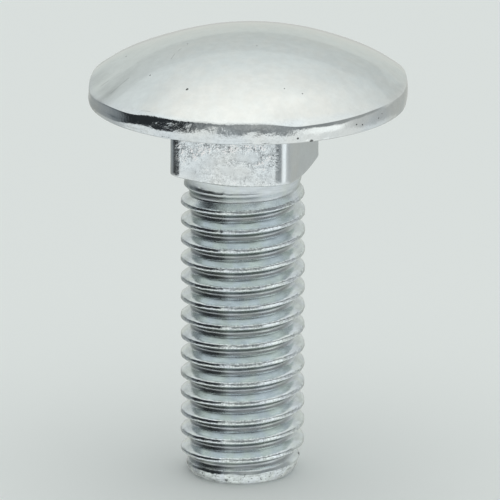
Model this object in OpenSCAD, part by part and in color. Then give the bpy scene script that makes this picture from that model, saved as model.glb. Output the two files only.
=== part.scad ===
// Carriage bolt M8 x 25: a domed head on a square neck, with a right-hand thread up to the neck.
// The origin lies on the shank's axis in the plane of the head's bearing face; +Z points to the dome.

/* [Head] */
// Diameter of the head
head_d = 20; // [19.4:0.1:20.6]
// Height of the head above its bearing face
head_h = 4.5; // [4.1:0.1:4.9]
// Height at which the dome would meet the rim, before their edge is rounded
rim_h = 1.35; // [0.9:0.05:1.6]
// Rounding between the dome and the rim
rim_upper_r = 0.4; // [0.2:0.05:0.6]
// Rounding between the rim and the bearing face
rim_lower_r = 0.25; // [0.1:0.05:0.4]
// How far the forged head sits off the shank's axis, towards +X
head_shift = 0.3; // [0:0.05:0.4]

/* [Square neck] */
// Width of the neck across its flats
neck_w = 7.8; // [7.5:0.1:8.5]
// Height of the neck below the bearing face
neck_h = 4.5; // [4.4:0.1:5.6]
// Rounding of the neck's upright corners
neck_corner_r = 0.75; // [0.4:0.05:1.1]
// Width of the sloping edge round the flat under the neck, at the middle of a side
neck_edge_w = 0.1; // [0.05:0.01:0.15]
// Rise of that sloping edge out to where the neck's sides would meet
neck_edge_h = 0.4; // [0.2:0.05:0.8]

/* [Shank and thread] */
// Length of the bolt from the bearing face to the tip
bolt_l = 24.2; // [20:0.1:35]
// Diameter of the plain shank under the neck
shank_d = 7.3; // [7.1:0.05:7.4]
// Length of the plain shank between the neck and the thread
shank_h = 0.5; // [0.3:0.1:2]
// Outside diameter of the thread
thread_d = 7.84; // [7.76:0.01:7.97]
// Diameter at the bottom of the thread's groove
root_d = 6.47; // [6.3:0.01:6.6]
// Pitch of the thread
pitch = 1.25; // [1:0.05:1.5]
// Width of the flat along the thread's crest
crest_w = 0.16; // [0.1:0.01:0.25]
// Width of the rounded bottom of the groove
root_w = 0.38; // [0.25:0.01:0.45]
// Height over which the thread runs out into the plain shank
runout_h = 2; // [1.25:0.05:3]
// Turn of the thread about the axis, as a share of a full turn
thread_turn_share = 0.65; // [0:0.01:1]

/* [Tip] */
// Diameter of the flat end
tip_d = 6.4; // [5.6:0.1:6.6]
// Diameter at the top of the chamfer
tip_edge_d = 7.2; // [6.9:0.05:7.3]
// Height of the chamfer
chamfer_h = 0.7; // [0.5:0.05:1.2]
// Height above the chamfer over which the crest rises to its full diameter
crest_lead_h = 1; // [0.8:0.05:2.5]
// Height above the chamfer over which the groove sinks to its full depth
groove_lead_h = 0.8; // [0.6:0.05:1.5]

/* [Hidden] */

// Facets of a round surface, and steps of the thread in one turn
round_fn = 96;
turn_steps = 48;
// Thread points this close to an end ring are taken into the ring
ring_gap = 0.12;

head_r = head_d / 2;
dome_h = head_h - rim_h;
dome_r = (head_r * head_r + dome_h * dome_h) / (2 * dome_h);
dome_z = head_h - dome_r;
// Centre of the rounding between dome and rim, and where the dome runs into it
round_x = head_r - rim_upper_r;
round_z = dome_z + sqrt(pow(dome_r - rim_upper_r, 2) - round_x * round_x);
dome_end_x = round_x * dome_r / (dome_r - rim_upper_r);

neck_half = neck_w / 2;
neck_inner = neck_w - 2 * neck_corner_r;
neck_sharp_r = neck_half * sqrt(2);
neck_foot_r = neck_half - neck_edge_w;

// Heights above the tip at which the thread changes
plain_t = bolt_l - neck_h - shank_h;
full_t = plain_t - runout_h;
neck_mid_t = bolt_l - neck_h / 2;
// Crest and groove radius by height above the tip
crest_by_t = [
    [chamfer_h, tip_edge_d / 2],
    [chamfer_h + crest_lead_h, thread_d / 2],
    [full_t, thread_d / 2],
    [plain_t, shank_d / 2]
];
root_by_t = [
    [chamfer_h, tip_edge_d / 2],
    [chamfer_h + groove_lead_h, root_d / 2],
    [full_t, root_d / 2],
    [plain_t, shank_d / 2]
];
// One pitch of the thread's section, from the lower edge of a crest upwards:
// place along the pitch, and height as a share of the way from groove to crest
round_share = 0.1;
section_shares = [
    [-crest_w / pitch / 2, 1],
    [crest_w / pitch / 2, 1],
    [(1 - root_w / pitch) / 2, round_share],
    [1 / 2, 0],
    [(1 + root_w / pitch) / 2, round_share]
];
section_n = len(section_shares);
// Turns laid out below the tip, all taken into the chamfer's ring
spare_turns = 2;
turn_n = ceil(plain_t / pitch) + spare_turns + 1;
row_n = turn_n * section_n;

// Height above the tip of a thread point: step i round the axis, row q up the thread
function point_t(i, q) = pitch * (floor(q / section_n) - spare_turns + thread_turn_share
    + section_shares[q % section_n][0] + i / turn_steps);

function point_r(t, share) = lookup(t, root_by_t) + share * (lookup(t, crest_by_t) - lookup(t, root_by_t));

function at_step(i, r, t) = [r * cos(360 * i / turn_steps), r * sin(360 * i / turn_steps), t];

function ring(r, t) = [for (i = [0 : turn_steps - 1]) at_step(i, r, t)];

// Rings in the thread solid: tip, chamfer edge, end of the thread, inside the neck
ring_n = 4;
thread_points = concat(
    ring(tip_d / 2, 0),
    ring(tip_edge_d / 2, chamfer_h),
    ring(shank_d / 2, plain_t),
    ring(shank_d / 2, neck_mid_t),
    [for (i = [0 : turn_steps - 1]) for (q = [0 : row_n - 1])
        at_step(i, point_r(point_t(i, q), section_shares[q % section_n][1]), point_t(i, q))]
);

function ring_id(k, i) = k * turn_steps + i % turn_steps;

// A step past the last one is the first step, one turn higher
function point_id(i, q) = i == turn_steps ? point_id(0, q + section_n)
    : point_t(i, q) < chamfer_h + ring_gap ? ring_id(1, i)
    : point_t(i, q) > plain_t - ring_gap ? ring_id(2, i)
    : ring_n * turn_steps + i * row_n + q;

function has_area(f) = f[0] != f[1] && f[1] != f[2] && f[2] != f[0];

function band(k) = [for (i = [0 : turn_steps - 1])
    [ring_id(k, i), ring_id(k + 1, i), ring_id(k + 1, i + 1), ring_id(k, i + 1)]];

thread_faces = concat(
    [[for (i = [0 : turn_steps - 1]) ring_id(0, i)]],
    [[for (i = [turn_steps - 1 : -1 : 0]) ring_id(ring_n - 1, i)]],
    band(0),
    band(2),
    [for (i = [0 : turn_steps - 1]) for (q = [0 : row_n - 2])
        let (a = point_id(i, q), b = point_id(i + 1, q), c = point_id(i + 1, q + 1), d = point_id(i, q + 1))
            for (f = [[a, d, c], [a, c, b]]) if (has_area(f)) f]
);

// Half section of the head: a dome that runs through a rounded edge into the rim
module head_section() {
    intersection() {
        translate([0, dome_z])
            circle(r = dome_r, $fn = round_fn);
        square([dome_end_x, head_h]);
    }
    translate([0, rim_lower_r])
        square([head_r, round_z - rim_lower_r]);
    translate([round_x, round_z])
        circle(r = rim_upper_r, $fn = round_fn);
    square([head_r - rim_lower_r, rim_lower_r]);
    translate([head_r - rim_lower_r, rim_lower_r])
        circle(r = rim_lower_r, $fn = round_fn);
}

module neck_section() {
    square([neck_w, neck_inner], center = true);
    square([neck_inner, neck_w], center = true);
    for (x = [-1, 1], y = [-1, 1])
        translate([x * neck_inner / 2, y * neck_inner / 2])
            circle(r = neck_corner_r, $fn = round_fn);
}

// The neck reaches up into the head by the height of the rim
module neck() {
    intersection() {
        translate([0, 0, -neck_h])
            linear_extrude(neck_h + rim_h)
                neck_section();
        rotate_extrude($fn = round_fn)
            polygon([
                [0, -neck_h],
                [neck_foot_r, -neck_h],
                [neck_sharp_r, neck_edge_h - neck_h],
                [neck_sharp_r, head_h],
                [0, head_h]
            ]);
    }
}

// The threaded shank reaches up to the middle of the neck
module threaded_shank() {
    translate([0, 0, -bolt_l])
        polyhedron(thread_points, thread_faces, convexity = 12);
}

module carriage_bolt() {
    color("gainsboro")
        union() {
            translate([head_shift, 0, 0])
                rotate_extrude($fn = round_fn)
                    head_section();
            neck();
            threaded_shank();
        }
}

carriage_bolt();
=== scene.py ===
"""Zinc-plated carriage bolt, standing on its tip on a pale studio floor."""
import math

import bpy
import numpy as np
from mathutils import Matrix, Vector, noise


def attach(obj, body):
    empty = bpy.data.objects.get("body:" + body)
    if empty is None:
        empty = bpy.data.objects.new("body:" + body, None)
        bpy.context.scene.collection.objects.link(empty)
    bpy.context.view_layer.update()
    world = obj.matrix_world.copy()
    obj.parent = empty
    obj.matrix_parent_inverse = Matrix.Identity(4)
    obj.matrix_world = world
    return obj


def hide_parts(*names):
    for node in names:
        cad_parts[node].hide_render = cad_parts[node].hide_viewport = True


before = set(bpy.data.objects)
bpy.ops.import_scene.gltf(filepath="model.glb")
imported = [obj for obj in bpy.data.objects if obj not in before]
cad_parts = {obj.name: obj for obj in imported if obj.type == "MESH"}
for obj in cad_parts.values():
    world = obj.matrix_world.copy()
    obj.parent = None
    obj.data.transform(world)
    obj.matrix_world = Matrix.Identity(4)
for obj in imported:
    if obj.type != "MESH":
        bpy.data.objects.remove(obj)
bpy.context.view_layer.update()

MM = 0.001
TURN = 2 * math.pi
QUARTER = math.pi / 2

# Main sizes of the bolt, in millimetres; the origin is in the bearing plane and +Z points to the dome
HEAD_R = 10.0
HEAD_H = 4.5
RIM_H = 1.35
RIM_UPPER_R = 0.4
RIM_LOWER_R = 0.15
HEAD_SHIFT = 0.3
NECK_W = 7.8
NECK_H = 4.5
NECK_CORNER_R = 0.85
NECK_EDGE_W = 0.1
NECK_EDGE_H = 0.4
NECK_SHIFT = 0.1
BOLT_L = 24.2
SHANK_R = 3.65
SHANK_H = 0.5
THREAD_R = 3.92
ROOT_R = 3.235
PITCH = 1.25
ROOT_W = 0.38
RUNOUT_H = 1.2
THREAD_TURN_SHARE = 0.65
TIP_EDGE_R = 3.52
CHAMFER_H = 0.7
CREST_LEAD_H = 1.0
GROOVE_LEAD_H = 0.8

# Direction from the axis to the photograph's viewpoint, and the image's right, as angles about +Z
AZIMUTH = math.radians(16.5)
RIGHT_ANGLE = AZIMUTH
FRONT_ANGLE = AZIMUTH - QUARTER

# Points round the axis: the head's rows have twice as many as the rows of the neck and thread
N = 240
HEAD_N = 2 * N

# Shift of the noise from one seed to the next
SEED_SHIFT = (17.3, -9.1, 5.7)


def wave(place, seed):
    """Smooth noise from -1 to 1 at a place given in millimetres."""
    return noise.noise(Vector([value + seed * shift for value, shift in zip(place, SEED_SHIFT)]))


def ripples(a, z, waves):
    """Sum of waves round the axis: each has a height, a fineness round and along the axis, and a seed."""
    c, s = math.cos(a), math.sin(a)
    return sum(height * wave((fine * c, fine * s, rate * z), seed) for height, fine, rate, seed in waves)


def step(low, high, x):
    """Smooth step from 0 at low to 1 at high."""
    t = min(1.0, max(0.0, (x - low) / (high - low)))
    return t * t * (3 - 2 * t)


def sector(turn, begin, full, fade, end):
    """Share, from 0 to 1, that a sector of the head has at an angle from the photograph's front."""
    return step(begin, full, turn) * step(end, fade, turn)


def angles(n):
    return [TURN * k / n for k in range(n)]


class Mesh:
    """Collects rows of points round the axis, and the faces between them."""

    def __init__(self):
        self.points = []
        self.faces = []

    def row(self, xyz):
        start = len(self.points)
        self.points.extend(map(tuple, xyz))
        return start

    def circle(self, r, z):
        return self.row([(r * math.cos(a), r * math.sin(a), z) for a in angles(N)])

    def loft(self, rows, n):
        for upper, lower in zip(rows, rows[1:]):
            for k in range(n):
                j = (k + 1) % n
                self.faces.append((lower + k, lower + j, upper + j, upper + k))

    def halve(self, upper, lower):
        """Joins a row of the head to a row with half as many points below it."""
        for k in range(N):
            j = (k + 1) % N
            a, b, c = upper + 2 * k, upper + 2 * k + 1, upper + 2 * j
            self.faces.append((lower + k, b, a))
            self.faces.append((lower + k, lower + j, b))
            self.faces.append((lower + j, c, b))

    def cap(self, ring, n, centre, up):
        tip = self.row([centre])
        for k in range(n):
            j = (k + 1) % n
            self.faces.append((ring + k, ring + j, tip) if up else (tip, ring + j, ring + k))


# Sphere of the dome
DOME_R = (HEAD_R ** 2 + (HEAD_H - RIM_H) ** 2) / (2 * (HEAD_H - RIM_H))
DOME_Z = HEAD_H - DOME_R

# Rows of the head's section: those of the dome lie closer together towards its edge
DOME_ROWS = 30
DOME_ROW_POWER = 1.25
EDGE_ROWS = 8
RIM_ROWS = 10
LOWER_ROWS = 6
# Share of the dome's arc past which the rim's unevenness sets in, and share of it that the lower edge loses
UNEVEN_START_SHARE = 0.86
LOWER_EVEN_SHARE = 0.8


def head_profile():
    """Radius, height, share of unevenness and share of edge sharpening of each row, from the apex down."""
    round_x = HEAD_R - RIM_UPPER_R
    round_z = DOME_Z + math.sqrt((DOME_R - RIM_UPPER_R) ** 2 - round_x ** 2)
    end = math.asin(round_x / (DOME_R - RIM_UPPER_R))
    rows = []
    for k in range(1, DOME_ROWS + 1):
        a = end * (1 - (1 - k / DOME_ROWS) ** DOME_ROW_POWER)
        uneven = step(UNEVEN_START_SHARE, 1.0, a / end)
        rows.append((DOME_R * math.sin(a), DOME_Z + DOME_R * math.cos(a), uneven, 0.0))
    for k in range(1, EDGE_ROWS + 1):
        a = end + (QUARTER - end) * k / EDGE_ROWS
        r = round_x + RIM_UPPER_R * math.sin(a)
        rows.append((r, round_z + RIM_UPPER_R * math.cos(a), 1.0, math.sin(math.pi * k / EDGE_ROWS)))
    for k in range(1, RIM_ROWS + 1):
        rows.append((HEAD_R, round_z + (RIM_LOWER_R - round_z) * k / RIM_ROWS, 1.0, 0.0))
    for k in range(1, LOWER_ROWS + 1):
        a = QUARTER * k / LOWER_ROWS
        r = HEAD_R - RIM_LOWER_R * (1 - math.cos(a))
        rows.append((r, RIM_LOWER_R * (1 - math.sin(a)), 1 - LOWER_EVEN_SHARE * k / LOWER_ROWS, 0.0))
    return rows


# Sectors of the forged head, as angles from the photograph's front, plus to the right:
# where each begins, is full, fades and ends
RIGHT_FRONT = (0.05, 0.35, 1.2, 1.9)
RIGHT_SIDE = (0.0, 0.3, 2.2, 2.6)
LEFT_MIDDLE = (-0.75, -0.55, -0.4, -0.3)
LEFT_FRONT = (-1.8, -1.45, -0.85, -0.6)
LEFT_SIDE = (-2.4, -1.9, -0.82, -0.62)
LEFT_END = (-2.4, -1.9, -1.0, -0.75)
LEFT_BACK = (-2.7, -2.2, -1.95, -1.6)

# Lean of the dome to the right, its fuller right shoulder, and the heights over which the lean sets in
LEAN_H = 0.13
SHOULDER_H = 0.1
SHOULDER_SHARES = (0.65, 0.92)
LEAN_Z = (0.15, 1.0)

# Falls and rise of the dome's edge, and the shares of the radius over which they set in
RIGHT_FALL_H = 0.34
RIGHT_FALL_SHARES = (0.8, 0.97)
LEFT_FALL_H = 0.16
LEFT_END_FALL_H = 0.2
LEFT_END_FALL_TURN = (-1.0, -1.35)
LEFT_RISE_H = 0.18
LEFT_FALL_SHARES = (0.58, 0.98)

# The rim's belly: the height where the rim is fullest, the shifts of that height,
# and how far the rim draws in over the belly's height
BELLY_Z = 0.75
BELLY_LEFT_END_SHIFT = -0.3
BELLY_LEFT_MIDDLE_SHIFT = -0.06
BELLY_RIGHT_SHIFT = 0.12
BELLY_H = 0.5
BELLY_REACH = 0.4
BELLY_UPPER_DEPTH = 0.045
BELLY_LOWER_DEPTH = 0.08
BELLY_RIGHT_FLAT_SHARE = 0.7

# Unevenness of the rim as waves: height, fineness round and along the axis, seed
EDGE_WAVES = ((0.05, 1.6, 0, 1), (0.02, 7, 0, 2))
EDGE_WAVE_Z = (0.2, 0.8)
BROAD_DENT_DEPTH = 0.03
BROAD_DENTS = ((BROAD_DENT_DEPTH, 4, 0.9, 3),)
FINE_DENTS = ((0.02, 10, 2, 4), (0.016, 20, 3, 12), (0.005, 48, 6, 13))
CALM_RIGHT_SHARE = 0.75
CALM_LEFT_SHARE = 0.85
NICKS = ((0.25, 13, 1.2, 8),)
NICK_LEVEL = 0.105
NICK_Z = (0.6, 0.15)

# Share by which the dome's rounded edge is drawn out to a sharp one, and room kept below the apex
SHARPENING_SHARE = 0.6
APEX_GAP = 0.002


def lean(r, a):
    """How much higher the leaning dome is at a place than an upright one."""
    right = math.cos(a - RIGHT_ANGLE)
    shoulder = max(0.0, right) ** 2 * step(*SHOULDER_SHARES, r / HEAD_R)
    return LEAN_H * right * r / HEAD_R + SHOULDER_H * shoulder


def edge_fall(turn, radius_share, z):
    """How far the dome's edge lies below an even one."""
    right = RIGHT_FALL_H * sector(turn, *RIGHT_FRONT)
    left = (LEFT_FALL_H + LEFT_END_FALL_H * step(*LEFT_END_FALL_TURN, turn)) * sector(turn, *LEFT_FRONT)
    left -= LEFT_RISE_H * sector(turn, *LEFT_BACK)
    fall = right * step(*RIGHT_FALL_SHARES, radius_share) + left * step(*LEFT_FALL_SHARES, radius_share)
    return fall * min(1.0, z / RIM_H)


def belly(turn, z):
    """How far the rim draws in above and below the height where it is fullest."""
    right = sector(turn, *RIGHT_FRONT)
    full_z = BELLY_Z + BELLY_LEFT_END_SHIFT * sector(turn, *LEFT_END)
    full_z += BELLY_LEFT_MIDDLE_SHIFT * sector(turn, *LEFT_MIDDLE) + BELLY_RIGHT_SHIFT * right
    depth = BELLY_UPPER_DEPTH if z > full_z else BELLY_LOWER_DEPTH * (1 - BELLY_RIGHT_FLAT_SHARE * right)
    return depth * ((min(z, full_z + BELLY_REACH) - full_z) / BELLY_H) ** 2


def dents(turn, a, z):
    """How deep the dents and nicks of the rim are; its front right and its left are the calmest."""
    calm = max(CALM_RIGHT_SHARE * sector(turn, *RIGHT_FRONT), CALM_LEFT_SHARE * sector(turn, *LEFT_SIDE))
    dent = BROAD_DENT_DEPTH + ripples(a, z, BROAD_DENTS) + (1 - calm) * ripples(a, z, FINE_DENTS)
    return dent + max(0.0, ripples(a, z, NICKS) - NICK_LEVEL) * step(*NICK_Z, z)


def head_row(mesh, row_r, row_z, uneven, edge):
    """One row of the head; the dome leans a little and the forged rim bellies out unevenly."""
    points = []
    for a in angles(HEAD_N):
        turn = math.remainder(a - FRONT_ANGLE, TURN)
        sharp = SHARPENING_SHARE * edge * (sector(turn, *LEFT_SIDE) + sector(turn, *RIGHT_SIDE))
        r = row_r + sharp * (HEAD_R - row_r)
        z = row_z + sharp * (RIM_H - row_z)
        height = z - edge_fall(turn, r / HEAD_R, z) + lean(r, a) * step(*LEAN_Z, z)
        height += uneven * step(*EDGE_WAVE_Z, z) * ripples(a, z, EDGE_WAVES)
        r -= uneven * max(0.0, belly(turn, z) + dents(turn, a, z))
        points.append((r * math.cos(a) + HEAD_SHIFT, r * math.sin(a), min(HEAD_H - APEX_GAP, height)))
    return mesh.row(points)


# Points on half a side of the neck, and rows down its fillet, its sides and its softened lower edge
NECK_FLAT_N = 16
FILLET_ROWS = 3
NECK_ROWS = 18
SOFT_ROWS = 4
FILLET_R = 0.08
SOFT_R = 0.09
# Places of the bearing face's rows, as shares of the way from the rim to the neck
BEARING_SHARES = (0.04, 0.25, 0.5, 0.75, 0.92)
# Shallow dips of the neck's sides: depth, fineness, seed, and the heights over which they set in
DIP_DEPTH = 0.012
DIP_FINENESS = 1.3
DIP_SEED = 9
DIP_Z = (-0.05, -0.5)
# Flare of the shank under the neck: width past the shank, then width and depth of the rows below
FLARE_W = 0.11
FLARE_IN_SHARES = (0.5, 1.0)
FLARE_ROWS = ((0.09, 0.03), (0.07, 0.1), (0.045, 0.2), (0.02, 0.34))


def neck_outline():
    """Points round the square neck with rounded corners, and the outward direction at each."""
    half = NECK_W / 2
    inner = half - NECK_CORNER_R
    bend_n = N // 4 - 2 * NECK_FLAT_N
    quarter = [((half, inner * j / NECK_FLAT_N), (1.0, 0.0)) for j in range(NECK_FLAT_N)]
    for j in range(bend_n):
        a = QUARTER * j / bend_n
        c, s = math.cos(a), math.sin(a)
        quarter.append(((inner + NECK_CORNER_R * c, inner + NECK_CORNER_R * s), (c, s)))
    quarter += [((inner * (1 - j / NECK_FLAT_N), half), (0.0, 1.0)) for j in range(NECK_FLAT_N)]
    outline = []
    for c, s in ((1, 0), (0, 1), (-1, 0), (0, -1)):
        for (x, y), (u, v) in quarter:
            outline.append(((x * c - y * s, x * s + y * c), (u * c - v * s, u * s + v * c)))
    return outline


def neck_row(mesh, outline, out, height):
    """One row round the neck, moved outwards; its height follows the distance from the axis."""
    points = []
    for (x, y), (u, v) in outline:
        z = height(math.hypot(x, y))
        dip = DIP_DEPTH * (1 + wave((DIP_FINENESS * x, DIP_FINENESS * y, DIP_FINENESS * z), DIP_SEED))
        move = out - dip * step(*DIP_Z, z)
        points.append((x + u * move + NECK_SHIFT, y + v * move, z))
    return mesh.row(points)


def neck_edge_z(r):
    """Height of the sloping edge under the neck, by the distance from the axis."""
    foot = NECK_W / 2 - NECK_EDGE_W
    corner = NECK_W / 2 * math.sqrt(2)
    return -NECK_H + NECK_EDGE_H * max(0.0, r - foot) / (corner - foot)


def bearing_rows(mesh, outline, rim_row):
    """The flat bearing face, from the rim's lower edge to the neck's fillet."""
    rim = [mesh.points[rim_row + 2 * k] for k in range(N)]
    rows = []
    for share in BEARING_SHARES:
        points = []
        for (rim_x, rim_y, _), ((x, y), (u, v)) in zip(rim, outline):
            neck_x = x + u * FILLET_R + NECK_SHIFT
            neck_y = y + v * FILLET_R
            points.append((rim_x * (1 - share) + neck_x * share, rim_y * (1 - share) + neck_y * share, 0.0))
        rows.append(mesh.row(points))
    return rows


def flare_rows(mesh, neck_end):
    """The underside of the neck, from its lower edge to the flared top of the shank, and the flare."""
    flare_r = SHANK_R + FLARE_W
    rows = []
    for share in FLARE_IN_SHARES:
        points = []
        for k, a in enumerate(angles(N)):
            x, y, z = mesh.points[neck_end + k]
            to_x, to_y = flare_r * math.cos(a), flare_r * math.sin(a)
            points.append((x + (to_x - x) * share, y + (to_y - y) * share, z + (-NECK_H - z) * share))
        rows.append(mesh.row(points))
    for width, depth in FLARE_ROWS:
        rows.append(mesh.circle(SHANK_R + width, -NECK_H - depth))
    return rows


def neck_rows(mesh, rim_row):
    """Bearing face, neck and the sloping edge under it, from the rim's lower edge to the shank."""
    outline = neck_outline()
    rows = bearing_rows(mesh, outline, rim_row)
    for k in range(FILLET_ROWS + 1):
        a = QUARTER * k / FILLET_ROWS
        out = FILLET_R * (1 - math.sin(a))
        rows.append(neck_row(mesh, outline, out, lambda r: -FILLET_R * (1 - math.cos(a))))
    for k in range(1, NECK_ROWS + 1):
        share = k / NECK_ROWS
        rows.append(neck_row(
            mesh, outline, 0.0, lambda r: -FILLET_R + (neck_edge_z(r) + SOFT_R + FILLET_R) * share
        ))
    for k in range(1, SOFT_ROWS + 1):
        a = QUARTER * k / SOFT_ROWS
        out = -SOFT_R * (1 - math.cos(a))
        rows.append(neck_row(mesh, outline, out, lambda r: neck_edge_z(r) + SOFT_R * (1 - math.sin(a))))
    return rows + flare_rows(mesh, rows[-1])


# Heights above the tip where the thread starts to run out and where the shank is plain
PLAIN_T = BOLT_L - NECK_H - SHANK_H
FULL_T = PLAIN_T - RUNOUT_H
# One pitch of the thread, from below a crest to below the next: share of the pitch, share of the depth
HALF_ROOT_SHARE = ROOT_W / PITCH / 2
SECTION_SHARES = (
    (-0.185, 0.78), (-0.16, 0.875), (-0.13, 0.955), (-0.09, 0.995), (-0.035, 0.98),
    (0.02, 0.985), (0.06, 0.965), (0.1, 0.88), (0.135, 0.78),
    (0.5 - HALF_ROOT_SHARE - 0.03, 0.2), (0.5 - HALF_ROOT_SHARE, 0.105), (0.5 - 0.45 * HALF_ROOT_SHARE, 0.02),
    (0.5, 0.0),
    (0.5 + 0.45 * HALF_ROOT_SHARE, 0.02), (0.5 + HALF_ROOT_SHARE, 0.105), (0.5 + HALF_ROOT_SHARE + 0.03, 0.2),
)
# Turns laid out below the tip, all taken into the chamfer's ring, and how near a point is taken into a ring
SPARE_TURNS = 2
RING_GAP = 0.03
# Lift of the groove halfway down its lead at the tip
LEAD_ROOT_LIFT = 0.06
# Wear of the crests and wander of the thread: waves of height, fineness round and along the axis, seed
CREST_WEAR = 0.024
CREST_WEAR_POWER = 6
CREST_WEAR_LEVEL = 0.8
CREST_WAVES = ((1, 11, 2, 5), (0.5, 30, 6, 6))
WANDER_WAVES = ((0.012, 6, 1.5, 7),)

# The chamfer as the cut left it: radius and height above the tip of each row down to the end's middle
TIP_PROFILE = (
    (TIP_EDGE_R, 0.64), (3.51, 0.55), (3.48, 0.42), (3.42, 0.27), (3.34, 0.13),
    (3.28, 0.05), (3.2, 0.008), (3.1, 0.0), (2.0, 0.0), (1.0, 0.0),
)
# Unevenness of the chamfer: its edge lies lower on the left, and its face is cut back on the right
TIP_EDGE_LEFT_FALL = 0.17
TIP_EDGE_WAVES = ((0.035, 5, 0, 14),)
TIP_ROUGH_DEPTH = 0.05
TIP_WAVES = ((TIP_ROUGH_DEPTH, 6, 2, 10), (0.045, 17, 6, 11))
TIP_ROUGH_R = (2.6, 3.3)
TIP_CUT_DEPTH = 0.12
TIP_CUT_T = (0.64, 0.05)
TIP_CUT_COSINE = (-0.2, 1.0)


def tip_edge_t(a):
    """Height above the tip of the chamfer's uneven upper edge."""
    fall = TIP_EDGE_LEFT_FALL * max(0.0, -math.cos(a - RIGHT_ANGLE))
    return CHAMFER_H - fall + ripples(a, 0, TIP_EDGE_WAVES)


def thread_r(t, share, edge_t, a):
    """Radius of the thread at a height above the tip, from the groove at share 0 to the crest at share 1."""
    root = np.interp(
        t,
        (edge_t, edge_t + GROOVE_LEAD_H / 2, edge_t + GROOVE_LEAD_H, FULL_T, PLAIN_T),
        (TIP_EDGE_R, ROOT_R + LEAD_ROOT_LIFT, ROOT_R, ROOT_R, SHANK_R),
    )
    crest = np.interp(
        t,
        (edge_t, edge_t + CREST_LEAD_H, FULL_T, PLAIN_T),
        (TIP_EDGE_R, THREAD_R, THREAD_R, SHANK_R),
    )
    wear = CREST_WEAR * share ** CREST_WEAR_POWER * (CREST_WEAR_LEVEL + ripples(a, t, CREST_WAVES))
    return root + share * (crest - root) - wear


def thread(mesh, top_ring, tip_ring):
    """The helical thread between the ring at the end of the shank and the ring at the chamfer."""
    rows_n = len(SECTION_SHARES)
    turns = math.ceil(PLAIN_T / PITCH) + SPARE_TURNS + 1
    around = angles(N)
    edges = [tip_edge_t(a) for a in around]
    made = {}

    def point(i, q):
        """The point at step i round the axis and row q up the thread; step N is step 0, one turn higher."""
        if i == N:
            return point(0, q + rows_n)
        pitch_share, depth_share = SECTION_SHARES[q % rows_n]
        t = PITCH * (q // rows_n - SPARE_TURNS + THREAD_TURN_SHARE + pitch_share + i / N)
        if t < edges[i] + RING_GAP:
            return tip_ring + i
        if t > PLAIN_T - RING_GAP:
            return top_ring + i
        if (i, q) not in made:
            a = around[i]
            r = thread_r(t, depth_share, edges[i], a)
            z = t + ripples(a, t, WANDER_WAVES) - BOLT_L
            made[i, q] = mesh.row([(r * math.cos(a), r * math.sin(a), z)])
        return made[i, q]

    for i in range(N):
        for q in range(turns * rows_n - 1):
            corners = (point(i, q), point(i + 1, q), point(i + 1, q + 1), point(i, q + 1))
            face = tuple(dict.fromkeys(corners))
            if len(face) > 2:
                mesh.faces.append(face)


def tip_rows(mesh, edge):
    """Chamfer, which the cut left uneven, and flat end."""
    rows = [edge]
    for row_r, t in TIP_PROFILE:
        outer = step(*TIP_ROUGH_R, row_r)
        points = []
        for a in angles(N):
            rough = max(0.0, outer * (TIP_ROUGH_DEPTH + ripples(a, t, TIP_WAVES)))
            cut = TIP_CUT_DEPTH * outer * step(*TIP_CUT_T, t)
            cut *= step(*TIP_CUT_COSINE, math.cos(a - RIGHT_ANGLE))
            r = row_r - rough - cut
            points.append((r * math.cos(a), r * math.sin(a), t * tip_edge_t(a) / CHAMFER_H - BOLT_L))
        rows.append(mesh.row(points))
    return rows


def build_bolt():
    """The bolt as one closed mesh, from the apex of the dome down to the flat end."""
    mesh = Mesh()
    head = [head_row(mesh, *row) for row in head_profile()]
    mesh.cap(head[0], HEAD_N, (HEAD_SHIFT, 0.0, HEAD_H), True)
    mesh.loft(head, HEAD_N)
    neck = neck_rows(mesh, head[-1])
    mesh.halve(head[-1], neck[0])
    mesh.loft(neck, N)
    shank_end = mesh.circle(SHANK_R, -NECK_H - SHANK_H)
    mesh.loft([neck[-1], shank_end], N)
    edge = mesh.row([
        (TIP_EDGE_R * math.cos(a), TIP_EDGE_R * math.sin(a), tip_edge_t(a) - BOLT_L) for a in angles(N)
    ])
    thread(mesh, shank_end, edge)
    tip = tip_rows(mesh, edge)
    mesh.loft(tip, N)
    mesh.cap(tip[-1], N, (0.0, 0.0, -BOLT_L), False)
    data = bpy.data.meshes.new("bolt")
    data.from_pydata([(x * MM, y * MM, z * MM) for x, y, z in mesh.points], [], mesh.faces)
    data.validate()
    data.shade_smooth()
    piece = bpy.data.objects.new("bolt", data)
    bpy.context.collection.objects.link(piece)
    return piece


# Sockets of the Mix node when it mixes colours
MIX_FACTOR = 0
MIX_A = 6
MIX_B = 7
MIX_RESULT = 2


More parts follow.
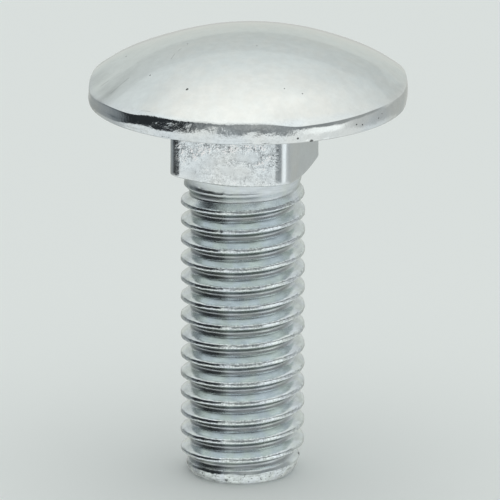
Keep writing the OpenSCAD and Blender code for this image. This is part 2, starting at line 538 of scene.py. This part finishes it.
class Graph:
    """Short names for the nodes that the materials and the world are made of."""

    def __init__(self, tree):
        self.nodes, self.links = tree.nodes, tree.links

    def put(self, socket, value):
        if isinstance(value, bpy.types.NodeSocket):
            self.links.new(value, socket)
        else:
            socket.default_value = value

    def math(self, operation, *values, clamp=False):
        node = self.nodes.new("ShaderNodeMath")
        node.operation = operation
        node.use_clamp = clamp
        for socket, value in zip(node.inputs, values):
            self.put(socket, value)
        return node.outputs[0]

    def chain(self, operation, values):
        total = values[0]
        for value in values[1:]:
            total = self.math(operation, total, value)
        return total

    def add(self, *values):
        return self.chain("ADD", values)

    def times(self, *values):
        return self.chain("MULTIPLY", values)

    def most(self, values):
        return self.chain("MAXIMUM", values)

    def rest(self, value):
        return self.math("SUBTRACT", 1.0, value)

    def blend(self, factor, a, b):
        return self.add(self.times(self.rest(factor), a), self.times(factor, b))

    def ramp(self, value, low, high, to_low=0.0, to_high=1.0):
        node = self.nodes.new("ShaderNodeMapRange")
        node.interpolation_type = "SMOOTHSTEP"
        settings = {"Value": value, "From Min": low, "From Max": high, "To Min": to_low, "To Max": to_high}
        for name, setting in settings.items():
            self.put(node.inputs[name], setting)
        return node.outputs["Result"]

    def window(self, value, begin, full, fade, end):
        return self.times(self.ramp(value, begin, full), self.ramp(value, end, fade))

    def noise(self, vector, scale, detail, roughness):
        node = self.nodes.new("ShaderNodeTexNoise")
        self.put(node.inputs["Vector"], vector)
        node.inputs["Scale"].default_value = scale
        node.inputs["Detail"].default_value = detail
        node.inputs["Roughness"].default_value = roughness
        return node.outputs["Fac"]

    def mix(self, factor, a, b, blend="MIX"):
        node = self.nodes.new("ShaderNodeMix")
        node.data_type = "RGBA"
        node.blend_type = blend
        self.put(node.inputs[MIX_FACTOR], factor)
        self.put(node.inputs[MIX_A], a)
        self.put(node.inputs[MIX_B], b)
        return node.outputs[MIX_RESULT]

    def vector(self, operation, a, b):
        node = self.nodes.new("ShaderNodeVectorMath")
        node.operation = operation
        self.put(node.inputs[0], a)
        self.put(node.inputs[1], b)
        return node.outputs["Value" if operation in ("DISTANCE", "DOT_PRODUCT") else "Vector"]

    def scaled(self, vector, factors):
        return self.vector("MULTIPLY", vector, factors)

    def split(self, vector):
        node = self.nodes.new("ShaderNodeSeparateXYZ")
        self.put(node.inputs[0], vector)
        return node.outputs

    def join(self, x, y, z):
        node = self.nodes.new("ShaderNodeCombineXYZ")
        for socket, value in zip(node.inputs, (x, y, z)):
            self.put(socket, value)
        return node.outputs[0]

    def grey(self, value):
        return self.join(value, value, value)

    def towards(self, angle, x, y):
        """How far a place or direction lies towards an angle about +Z."""
        return self.add(self.times(x, math.cos(angle)), self.times(y, math.sin(angle)))


# Pits in the dome's plating, seen from above: place and radius
DOME_PITS = (
    ((-1.4, -7.5), 0.1), ((-2.99, -2.16), 0.06), ((-4.38, -5.57), 0.06), ((4.48, -6.2), 0.042),
    ((5.6, -6.07), 0.042), ((1.56, -2.34), 0.05), ((-7.26, -1.31), 0.06), ((2.2, 6.4), 0.07),
)
# Specks and nicks in the rim: degrees to the right of the photograph's front, height and radius
RIM_PITS = (
    ((23.3, 0.03), 0.17), ((18.0, 0.33), 0.08), ((42.3, 0.62), 0.062), ((45.3, 0.5), 0.062),
    ((54.2, 0.6), 0.062), ((56.2, 0.8), 0.055), ((150.0, 0.5), 0.08), ((-120.0, 0.7), 0.08),
)
RIM_PIT_INSET = 0.04
# Nicks in the last turn of the thread: place and radius
THREAD_NICKS = (((3.47, 0.86, -23.17), 0.13), ((3.44, 1.04, -23.14), 0.11))
# Fine scratches in the dome, seen from above: both ends and half the width
SCRATCHES = (
    ((-5.94, -4.97), (-6.84, -5.85), 0.055), ((-8.04, -3.99), (-7.62, -3.87), 0.06),
    ((-4.03, -8.6), (-3.36, -8.89), 0.05), ((-3.45, -4.1), (-3.42, -3.5), 0.045),
    ((-3.3, -3.1), (-3.2, -2.8), 0.045),
)
# Share of its size within which a pit or a scratch has its full strength
PIT_FULL_SHARE = 0.55
SCRATCH_FULL_SHARE = 0.3

# Noise patterns of the zinc: stretch of the place in millimetres, scale, detail and roughness
EVEN = (1.0, 1.0, 1.0)
PATTERNS = {
    "cloud": (EVEN, 0.32, 3.0, 0.5),
    "bloom": ((1.0, 1.0, 0.4), 0.9, 3.0, 0.6),
    "mottle": (EVEN, 1.6, 5.0, 0.6),
    "grain": (EVEN, 5.0, 2.0, 0.55),
    "fine": (EVEN, 11.0, 2.0, 0.5),
    "streak": ((0.9, 0.9, 7.0), 1.0, 3.0, 0.6),
    "brush": ((0.9, 6.0, 3.0), 1.0, 3.0, 0.6),
    "patches": ((0.6, 1.0, 1.1), 1.0, 2.0, 0.5),
}

# Bounds of the zinc's parts, in millimetres: where each sets in and where it is full
HEAD_END_Z = (0.03, -0.03)
THREAD_START_Z = (-NECK_H + 0.05, -NECK_H - 0.15)
THREAD_WHOLE_Z = (-NECK_H - 0.6, -NECK_H - 1.6)
TIP_START_Z = (CHAMFER_H - BOLT_L + 0.1, CHAMFER_H - BOLT_L - 0.05)
RIM_START_R = (9.2, 9.7)
RIM_TOP_Z = (1.6, 1.25)
# Bounds with the shares that the part has at each: the smoother ends of the rim, the neck's sheared sides
# and the patches where their grain is torn
RIM_RIGHT = (5.0, 2.0, 0.25, 1.0)
RIM_LEFT = (-8.0, -7.0, 0.2, 1.0)
SHEARED_Y = (3.8, 3.87, 0.1, 1.0)
TORN_Z = (-2.2, -3.6, 1.0, 0.4)
TORN_PATCHES = (0.38, 0.58, 0.3, 1.45)
# Parts of a pitch, from 0 at the crest up the thread: where each begins, is full, fades and ends
CREST_EDGE = (0.02, 0.05, 0.08, 0.12)
# The flank, the groove and the corner mark painted shade: darker from the upper flank down into the groove,
# darkest in its corner under the crest above
FLANK = (0.12, 0.4, 0.62, 0.70)
GROOVE = (0.33, 0.42, 0.62, 0.70)
ROOT_CORNER_SHADE = (0.56, 0.61, 0.65, 0.70)
# The crest lies to both sides of 0: where it ends and is full above, and where it begins and is full below
CREST_ABOVE = (0.12, 0.08)
CREST_BELOW = (0.82, 0.86)

# Tints of the passivated zinc, and of its reflections at a grazing angle
COOL = (0.745, 0.805, 0.83, 1)
WARM = (0.78, 0.815, 0.805, 1)
WARM_CLOUD = (0.4, 0.65)
DOME_COOL = (0.758, 0.82, 0.823, 1)
DOME_WARM = (0.81, 0.822, 0.787, 1)
THREAD_COOL = (0.742, 0.806, 0.842, 1)
THREAD_WARM = (0.758, 0.825, 0.81, 1)
THREAD_WARM_BLOOM = (0.38, 0.62)
GRAZING_TINT = (0.99, 1.0, 0.955, 1)

# Layers of the zinc: part, pattern, two values of the pattern and what the layer adds at each
DOME_WARM_LAYERS = (
    ("bolt", "bloom", 0.35, 0.65, -0.1, 0.2),
    ("bolt", "ahead", 3.5, 8.5, 0.05, 0.85),
    ("bolt", "ahead", 0.0, -6.0, 0.0, 0.7),
    ("bolt", "aside", -3.5, -8.0, 0.0, -0.6),
)
SHADE_LAYERS = (
    ("bolt", "mottle", 0.3, 0.7, -0.03, 0.03),
    ("grainy", "grain", 0.3, 0.55, -0.06, 0.05),
    ("torn", "fine", 0.35, 0.6, -0.2, 0.2),
    ("torn", "mottle", 0.35, 0.6, -0.1, 0.05),
    ("torn", "grain", 0.35, 0.6, -0.17, 0.08),
    ("sheared", "height", -2.0, -3.6, 0.0, 0.05),
    ("sheared", "brush", 0.35, 0.65, -0.05, 0.05),
    ("thread", "streak", 0.35, 0.65, -0.08, 0.05),
    ("crest", "fine", 0.38, 0.6, -0.16, 0.2),
    # Painted shade: a grainy dark line along the crests' upper edges
    ("crest_edge", "grain", 0.4, 0.6, -0.22, 0.02),
    ("tip", "grain", 0.40, 0.34, 0.06, -0.45),
    ("tip", "mottle", 0.35, 0.6, -0.22, 0.06),
    # Painted shade: the tip darker towards its left side
    ("tip", "aside", -1.0, -3.2, 0.0, -0.16),
)
ROUGH_LAYERS = (
    ("bolt", "mottle", 0.3, 0.7, -0.03, 0.04),
    ("bolt", "fine", 0.35, 0.65, -0.02, 0.02),
)
# Roughness of the plain plate, and what each part adds to the shade and to the roughness
ROUGHNESS = 0.16
# The groove, the corner and the flank add painted shade; the pits and the scratches are dark marks in the
# plate
SHADE_PARTS = (
    ("groove", -0.12), ("corner", -0.35), ("flank", -0.11), ("pit", -0.8), ("scratch", -0.24),
)
ROUGH_PARTS = (
    ("dome", -0.1), ("rim", -0.03), ("neck", 0.03), ("thread", 0.02),
    ("smooth", 0.14), ("flank", 0.07), ("groove", 0.05), ("pit", 0.3),
)
# Depth of the pits and relief of the plate, in millimetres: part, pattern and height of the pattern
PIT_DEPTH = 0.03
RELIEF_LAYERS = (
    ("dome", "mottle", 0.0012), ("dome", "brush", 0.0022), ("torn", "fine", 0.008), ("torn", "grain", 0.014),
    ("rough_rim", "fine", 0.006), ("rough_rim", "grain", 0.016), ("tip", "grain", 0.025),
    ("thread", "streak", 0.006), ("thread", "grain", 0.003), ("crest", "fine", 0.005),
)


def on_rim(degrees, z):
    """A place on the rim, by its angle from the photograph's front and its height."""
    a = FRONT_ANGLE + math.radians(degrees)
    r = HEAD_R - RIM_PIT_INSET
    return Vector((r * math.cos(a) + HEAD_SHIFT, r * math.sin(a), z))


def zinc_patterns(g, place):
    """Noise patterns by name, with the place towards the photograph's front, its right and upwards."""
    x, y, z = g.split(place)
    patterns = {
        "ahead": g.towards(FRONT_ANGLE, x, y),
        "aside": g.towards(RIGHT_ANGLE, x, y),
        "height": z,
    }
    for name, (stretch, scale, detail, roughness) in PATTERNS.items():
        patterns[name] = g.noise(g.scaled(place, stretch), scale, detail, roughness)
    return patterns


def main_parts(g, place, patterns):
    """Shares that the head, neck, thread and tip, and their kinds of plate, have at a place, by name."""
    x, y, z = g.split(place)
    radius = g.math("SQRT", g.add(g.times(x, x), g.times(y, y)))
    below_head = g.ramp(z, *HEAD_END_Z)
    head = g.rest(below_head)
    thread_part = g.ramp(z, *THREAD_START_Z)
    neck = g.math("SUBTRACT", below_head, thread_part)
    rim = g.times(head, g.ramp(radius, *RIM_START_R), g.ramp(z, *RIM_TOP_Z))
    rough_rim = g.times(rim, g.ramp(patterns["aside"], *RIM_RIGHT), g.ramp(patterns["aside"], *RIM_LEFT))
    sheared = g.times(neck, g.ramp(g.math("ABSOLUTE", y), *SHEARED_Y))
    torn = g.times(sheared, g.ramp(z, *TORN_Z), g.ramp(patterns["patches"], *TORN_PATCHES))
    return {
        "bolt": 1.0,
        "dome": g.math("SUBTRACT", head, rim),
        "rim": rim,
        "rough_rim": rough_rim,
        "neck": neck,
        "sheared": sheared,
        "torn": torn,
        "grainy": g.add(rough_rim, torn),
        "thread": thread_part,
        "tip": g.ramp(z, *TIP_START_Z),
    }


def thread_parts(g, place, thread_part, tip):
    """Shares that the parts of a pitch, and the smooth shank above the thread, have at a place, by name."""
    x, y, z = g.split(place)
    turned = g.math("DIVIDE", g.math("ARCTAN2", y, x), TURN)
    climbed = g.math("DIVIDE", g.add(z, BOLT_L), PITCH)
    phase = g.math("FRACT", g.math("SUBTRACT", climbed, g.add(turned, THREAD_TURN_SHARE)))
    whole = g.times(thread_part, g.ramp(z, *THREAD_WHOLE_Z), g.rest(tip))
    return {
        "smooth": g.times(thread_part, g.ramp(z, *reversed(THREAD_WHOLE_Z))),
        "crest": g.times(whole, g.add(g.ramp(phase, *CREST_ABOVE), g.ramp(phase, *CREST_BELOW))),
        # The crest's upper edge carries a painted dark line of shade
        "crest_edge": g.times(whole, g.window(phase, *CREST_EDGE)),
        # Besides roughness, the flank, the groove and the corner carry painted shade in the thread's hollows
        "flank": g.times(whole, g.window(phase, *FLANK)),
        "groove": g.times(whole, g.window(phase, *GROOVE)),
        "corner": g.times(whole, g.window(phase, *ROOT_CORNER_SHADE)),
    }


def marks(g, place, dome):
    """Shares that pits and scratches have at a place; those of the dome are laid out in the bearing plane."""
    plan = g.scaled(place, (1.0, 1.0, 0.0))

    def near(here, spot, size):
        return g.ramp(g.vector("DISTANCE", here, spot), size, size * PIT_FULL_SHARE)

    def along(start, end, size):
        run = Vector((*end, 0.0)) - Vector((*start, 0.0))
        away = g.vector("SUBTRACT", plan, Vector((*start, 0.0)))
        share = g.math("MULTIPLY", g.vector("DOT_PRODUCT", away, run / run.length_squared), 1.0, clamp=True)
        nearest = g.scaled(g.grey(share), run)
        return g.ramp(g.vector("DISTANCE", away, nearest), size, size * SCRATCH_FULL_SHARE)

    dome_pit = g.most([near(plan, (*spot, 0.0), size) for spot, size in DOME_PITS])
    rim_pit = g.most([near(place, on_rim(*spot), size) for spot, size in RIM_PITS])
    nick = g.most([near(place, spot, size) for spot, size in THREAD_NICKS])
    scratch = g.most([along(*line) for line in SCRATCHES])
    return {"pit": g.most([g.times(dome, dome_pit), rim_pit, nick]), "scratch": g.times(dome, scratch)}


def layered(g, parts, patterns, layers):
    """Sum of layers, each laid on its part by its pattern."""
    return g.add(*[
        g.times(parts[part], g.ramp(patterns[pattern], low, high, to_low, to_high))
        for part, pattern, low, high, to_low, to_high in layers
    ])


def summed(g, parts, amounts):
    """Sum of the amounts that the parts add."""
    return g.add(*[g.times(parts[part], amount) for part, amount in amounts])


def zinc_colour(g, parts, patterns):
    """Cool and warm tints of the passivated zinc, darker in the pits and the torn grain, with painted shade
    in the thread's grooves, along its crests and on the tip's left.
    """
    colour = g.mix(g.ramp(patterns["cloud"], *WARM_CLOUD), COOL, WARM)
    dome_tint = g.mix(layered(g, parts, patterns, DOME_WARM_LAYERS), DOME_COOL, DOME_WARM)
    colour = g.mix(parts["dome"], colour, dome_tint)
    thread_tint = g.mix(g.ramp(patterns["bloom"], *THREAD_WARM_BLOOM), THREAD_COOL, THREAD_WARM)
    colour = g.mix(parts["thread"], colour, thread_tint)
    shade = g.add(1.0, summed(g, parts, SHADE_PARTS), layered(g, parts, patterns, SHADE_LAYERS))
    return g.mix(1.0, colour, g.grey(shade), "MULTIPLY")


def zinc_relief(g, parts, patterns):
    """Fine relief of the plating: brushed dome, torn grain, streaked thread, speckled tip and pits."""
    bump = g.nodes.new("ShaderNodeBump")
    bump.inputs["Strength"].default_value = 1.0
    bump.inputs["Distance"].default_value = MM
    layers = [g.times(parts[part], patterns[pattern], height) for part, pattern, height in RELIEF_LAYERS]
    g.put(bump.inputs["Height"], g.add(*layers, g.times(parts["pit"], -PIT_DEPTH)))
    return bump.outputs["Normal"]


def zinc():
    """Bright zinc plate: satin dome with pits and scratches, grainy rim and neck, streaked thread."""
    mat = bpy.data.materials.new("zinc_plate")
    mat.use_nodes = True
    g = Graph(mat.node_tree)
    bsdf = g.nodes["Principled BSDF"]
    bsdf.inputs["Metallic"].default_value = 1.0
    bsdf.inputs["Specular Tint"].default_value = GRAZING_TINT
    place = g.scaled(g.nodes.new("ShaderNodeTexCoord").outputs["Object"], (1 / MM, 1 / MM, 1 / MM))
    patterns = zinc_patterns(g, place)
    parts = main_parts(g, place, patterns)
    parts.update(thread_parts(g, place, parts["thread"], parts["tip"]))
    parts.update(marks(g, place, parts["dome"]))
    rough = g.add(ROUGHNESS, summed(g, parts, ROUGH_PARTS), layered(g, parts, patterns, ROUGH_LAYERS))
    g.put(bsdf.inputs["Base Color"], zinc_colour(g, parts, patterns))
    g.put(bsdf.inputs["Roughness"], rough)
    g.put(bsdf.inputs["Normal"], zinc_relief(g, parts, patterns))
    return mat


bolt = build_bolt()
bolt.data.materials.append(zinc())
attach(bolt, "root")
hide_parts("carriage_bolt")

# Floor: half its side in metres, colour and roughness
FLOOR_HALF = 3.0
FLOOR_COLOUR = (0.87, 0.91, 0.893, 1)
FLOOR_ROUGHNESS = 0.9


def pale_floor():
    """Plain matt floor under the tip; in the reflections the studio's ground stands in for it."""
    mesh = bpy.data.meshes.new("floor")
    corners = [(-FLOOR_HALF, -FLOOR_HALF, 0), (FLOOR_HALF, -FLOOR_HALF, 0)]
    corners += [(FLOOR_HALF, FLOOR_HALF, 0), (-FLOOR_HALF, FLOOR_HALF, 0)]
    mesh.from_pydata(corners, [], [(0, 1, 2, 3)])
    piece = bpy.data.objects.new("floor", mesh)
    piece.location.z = -BOLT_L * MM
    piece.visible_glossy = False
    bpy.context.collection.objects.link(piece)
    mat = bpy.data.materials.new("floor")
    mat.use_nodes = True
    bsdf = mat.node_tree.nodes["Principled BSDF"]
    bsdf.inputs["Base Color"].default_value = FLOOR_COLOUR
    bsdf.inputs["Roughness"].default_value = FLOOR_ROUGHNESS
    bsdf.inputs["Specular IOR Level"].default_value = 0.0
    mesh.materials.append(mat)
    return piece


floor = pale_floor()

scene = bpy.context.scene
scene.view_settings.view_transform = "Standard"

# Light of the studio round the bolt: degrees to the right of the photograph's front, and level.
# The ground lies below, the low and the high band hold the screens at the sides, and the sky is overhead
GROUND_STOPS = ((-180, 0.52), (-118, 0.5), (-98, 0.8), (-60, 0.84), (10, 0.9), (80, 0.82), (180, 0.52))
LOW_STOPS = (
    (-180, 0.6), (-150, 0.36), (-122, 0.31), (-109, 0.21), (-98, 0.026), (-44, 0.034), (-37, 0.75),
    (-32, 0.94), (-26, 0.88), (-15, 0.3), (10, 0.26), (28, 0.3), (40, 0.95), (52, 1.12), (66, 1.16),
    (84, 0.6), (110, 0.48), (150, 0.49), (180, 0.6),
)
HIGH_STOPS = (
    (-180, 1.0), (-160, 1.0), (-145, 0.5), (-128, 0.28), (-112, 0.14), (-106, 0.12), (-99, 0.034),
    (-47, 0.034), (-36, 0.38), (-20, 0.42), (5, 0.64), (40, 0.4), (100, 0.45), (130, 1.0), (180, 1.0),
)
# Place of the photograph's front on the stops' scale, which runs from 0 to 1 once round
STOP_FRONT = 0.5
# How much lower the top of the screens is, round the bolt
SCREEN_LOWER_STOPS = ((-180, 0.3), (-125, 0.3), (-112, 0.1), (-104, 0.0), (180, 0.0))
# Heights of a direction, from -1 straight down to 1 straight up, where the bands pass into each other
GROUND_TO_LOW = (-0.39, -0.33)
LOW_TO_HIGH = (-0.12, -0.04)
SCREEN_TOP = (0.58, 0.68)
# The ground is darker straight below, and the sky darker at its sides
GROUND_MIDDLE = (-0.95, -0.6, 0.84, 1.0)
SKY_RIGHT = (0.15, 0.45, 1.0, 0.945)
SKY_LEFT = (-0.15, -0.45, 1.0, 0.975)
# The sky: even level, glow round the lit area, edge of that area, glow near the horizon, rise to the zenith
SKY_LEVEL = 0.61
SKY_GLOW = (0.3, 0.6, 0.0, 0.02)
SKY_EDGE = (0.603, 0.622, 0.0, 0.055)
SKY_HORIZON = (0.30, 0.27, 0.0, 0.07)
SKY_RISE = 0.43
SKY_RISE_POWER = 4.0
SKY_WIDTH_SHARE = 0.5
# Tints of the dark screens and of the light, and the levels between which they change
SCREEN_TINT = (0.9, 1.0, 1.07, 1)
LIGHT_TINT = (0.985, 1.0, 0.995, 1)
TINT_LEVELS = (0.05, 0.45)


def round_about(g, turned, stops):
    """Level that changes smoothly round the axis, from stop to stop."""
    node = g.nodes.new("ShaderNodeValToRGB")
    node.color_ramp.interpolation = "EASE"
    elements = node.color_ramp.elements
    while len(elements) < len(stops):
        elements.new(STOP_FRONT)
    for element, (degrees, level) in zip(elements, stops):
        element.position = degrees / 360 + STOP_FRONT
        element.color = (level, level, level, 1)
    g.put(node.inputs["Fac"], turned)
    return g.split(node.outputs["Color"])[0]


def sky_level(g, aside, z):
    """Light from above, strongest overhead and wider from side to side than from front to back."""
    overhead = g.math("SQRT", g.add(g.times(z, z), g.times(aside, aside, SKY_WIDTH_SHARE)))
    level = g.add(
        SKY_LEVEL,
        g.ramp(overhead, *SKY_GLOW),
        g.ramp(overhead, *SKY_EDGE),
        g.times(g.math("POWER", overhead, SKY_RISE_POWER), SKY_RISE),
        g.ramp(z, *SKY_HORIZON),
    )
    return g.times(level, g.ramp(aside, *SKY_RIGHT), g.ramp(aside, *SKY_LEFT))


def studio():
    """Soft light, strongest overhead, with a dark screen on the left and grey ones in front and right."""
    world = bpy.data.worlds.new("studio")
    world.use_nodes = True
    g = Graph(world.node_tree)
    x, y, z = g.split(g.nodes.new("ShaderNodeTexCoord").outputs["Generated"])
    ahead = g.towards(FRONT_ANGLE, x, y)
    aside = g.towards(RIGHT_ANGLE, x, y)
    turned = g.math("MULTIPLY_ADD", g.math("ARCTAN2", aside, ahead), 1 / TURN, STOP_FRONT)
    ground = g.times(round_about(g, turned, GROUND_STOPS), g.ramp(z, *GROUND_MIDDLE))
    low = round_about(g, turned, LOW_STOPS)
    high = round_about(g, turned, HIGH_STOPS)
    above_screen = g.ramp(g.add(z, round_about(g, turned, SCREEN_LOWER_STOPS)), *SCREEN_TOP)
    upper = g.times(sky_level(g, aside, z), g.blend(above_screen, high, 1.0))
    level = g.blend(g.ramp(z, *GROUND_TO_LOW), ground, low)
    level = g.blend(g.ramp(z, *LOW_TO_HIGH), level, upper)
    tint = g.mix(g.ramp(level, *TINT_LEVELS), SCREEN_TINT, LIGHT_TINT)
    background = g.nodes["Background"]
    g.put(background.inputs["Color"], g.mix(1.0, g.grey(level), tint, "MULTIPLY"))
    background.inputs["Strength"].default_value = 1.0
    return world


scene.world = studio()

# A wide soft lamp overhead lights the floor and stays out of the reflections: metres and watts
LAMP_WIDTH = 1.2
LAMP_HEIGHT = 0.9
LAMP_POWER = 1.1


def soft_lamp():
    data = bpy.data.lights.new("softbox", "AREA")
    data.shape = "DISK"
    data.size = LAMP_WIDTH
    data.energy = LAMP_POWER
    lamp = bpy.data.objects.new("softbox", data)
    lamp.location = (0, 0, LAMP_HEIGHT)
    lamp.visible_glossy = False
    bpy.context.collection.objects.link(lamp)


soft_lamp()

# The camera stands where the photograph's view was fitted: distance and aim in millimetres, image in pixels
ELEVATION = math.radians(17.515)
ROLL = math.radians(0.178)
DISTANCE = 600.0
AIM_Z = -15.16
AIM_PIXEL = (242.88, 331.92)
PIXELS_PER_MM = 15.897
IMAGE_PIXELS = 500
SENSOR_W = 36.0
CLIP_START = 0.01


def fitted_camera():
    """Camera that sees the point AIM_Z on the axis at the pixel AIM_PIXEL, at the photograph's scale."""
    level = math.cos(ELEVATION)
    back = Vector((math.sin(AZIMUTH) * level, -math.cos(AZIMUTH) * level, math.sin(ELEVATION)))
    right = Vector((math.cos(AZIMUTH), math.sin(AZIMUTH), 0))
    up = back.cross(right)
    aim = Vector((0, 0, AIM_Z))
    place = aim + back * DISTANCE
    target = aim + right * ((IMAGE_PIXELS / 2 - AIM_PIXEL[0]) / PIXELS_PER_MM)
    target += up * ((AIM_PIXEL[1] - IMAGE_PIXELS / 2) / PIXELS_PER_MM)
    data = bpy.data.cameras.new("camera")
    data.sensor_width = SENSOR_W
    data.lens = PIXELS_PER_MM * DISTANCE * SENSOR_W / IMAGE_PIXELS
    data.clip_start = CLIP_START
    camera = bpy.data.objects.new("camera", data)
    look = (target - place).to_track_quat("-Z", "Y").to_matrix()
    camera.rotation_euler = (look @ Matrix.Rotation(ROLL, 3, "Z")).to_euler()
    camera.location = place * MM
    bpy.context.collection.objects.link(camera)
    return camera


scene.camera = fitted_camera()
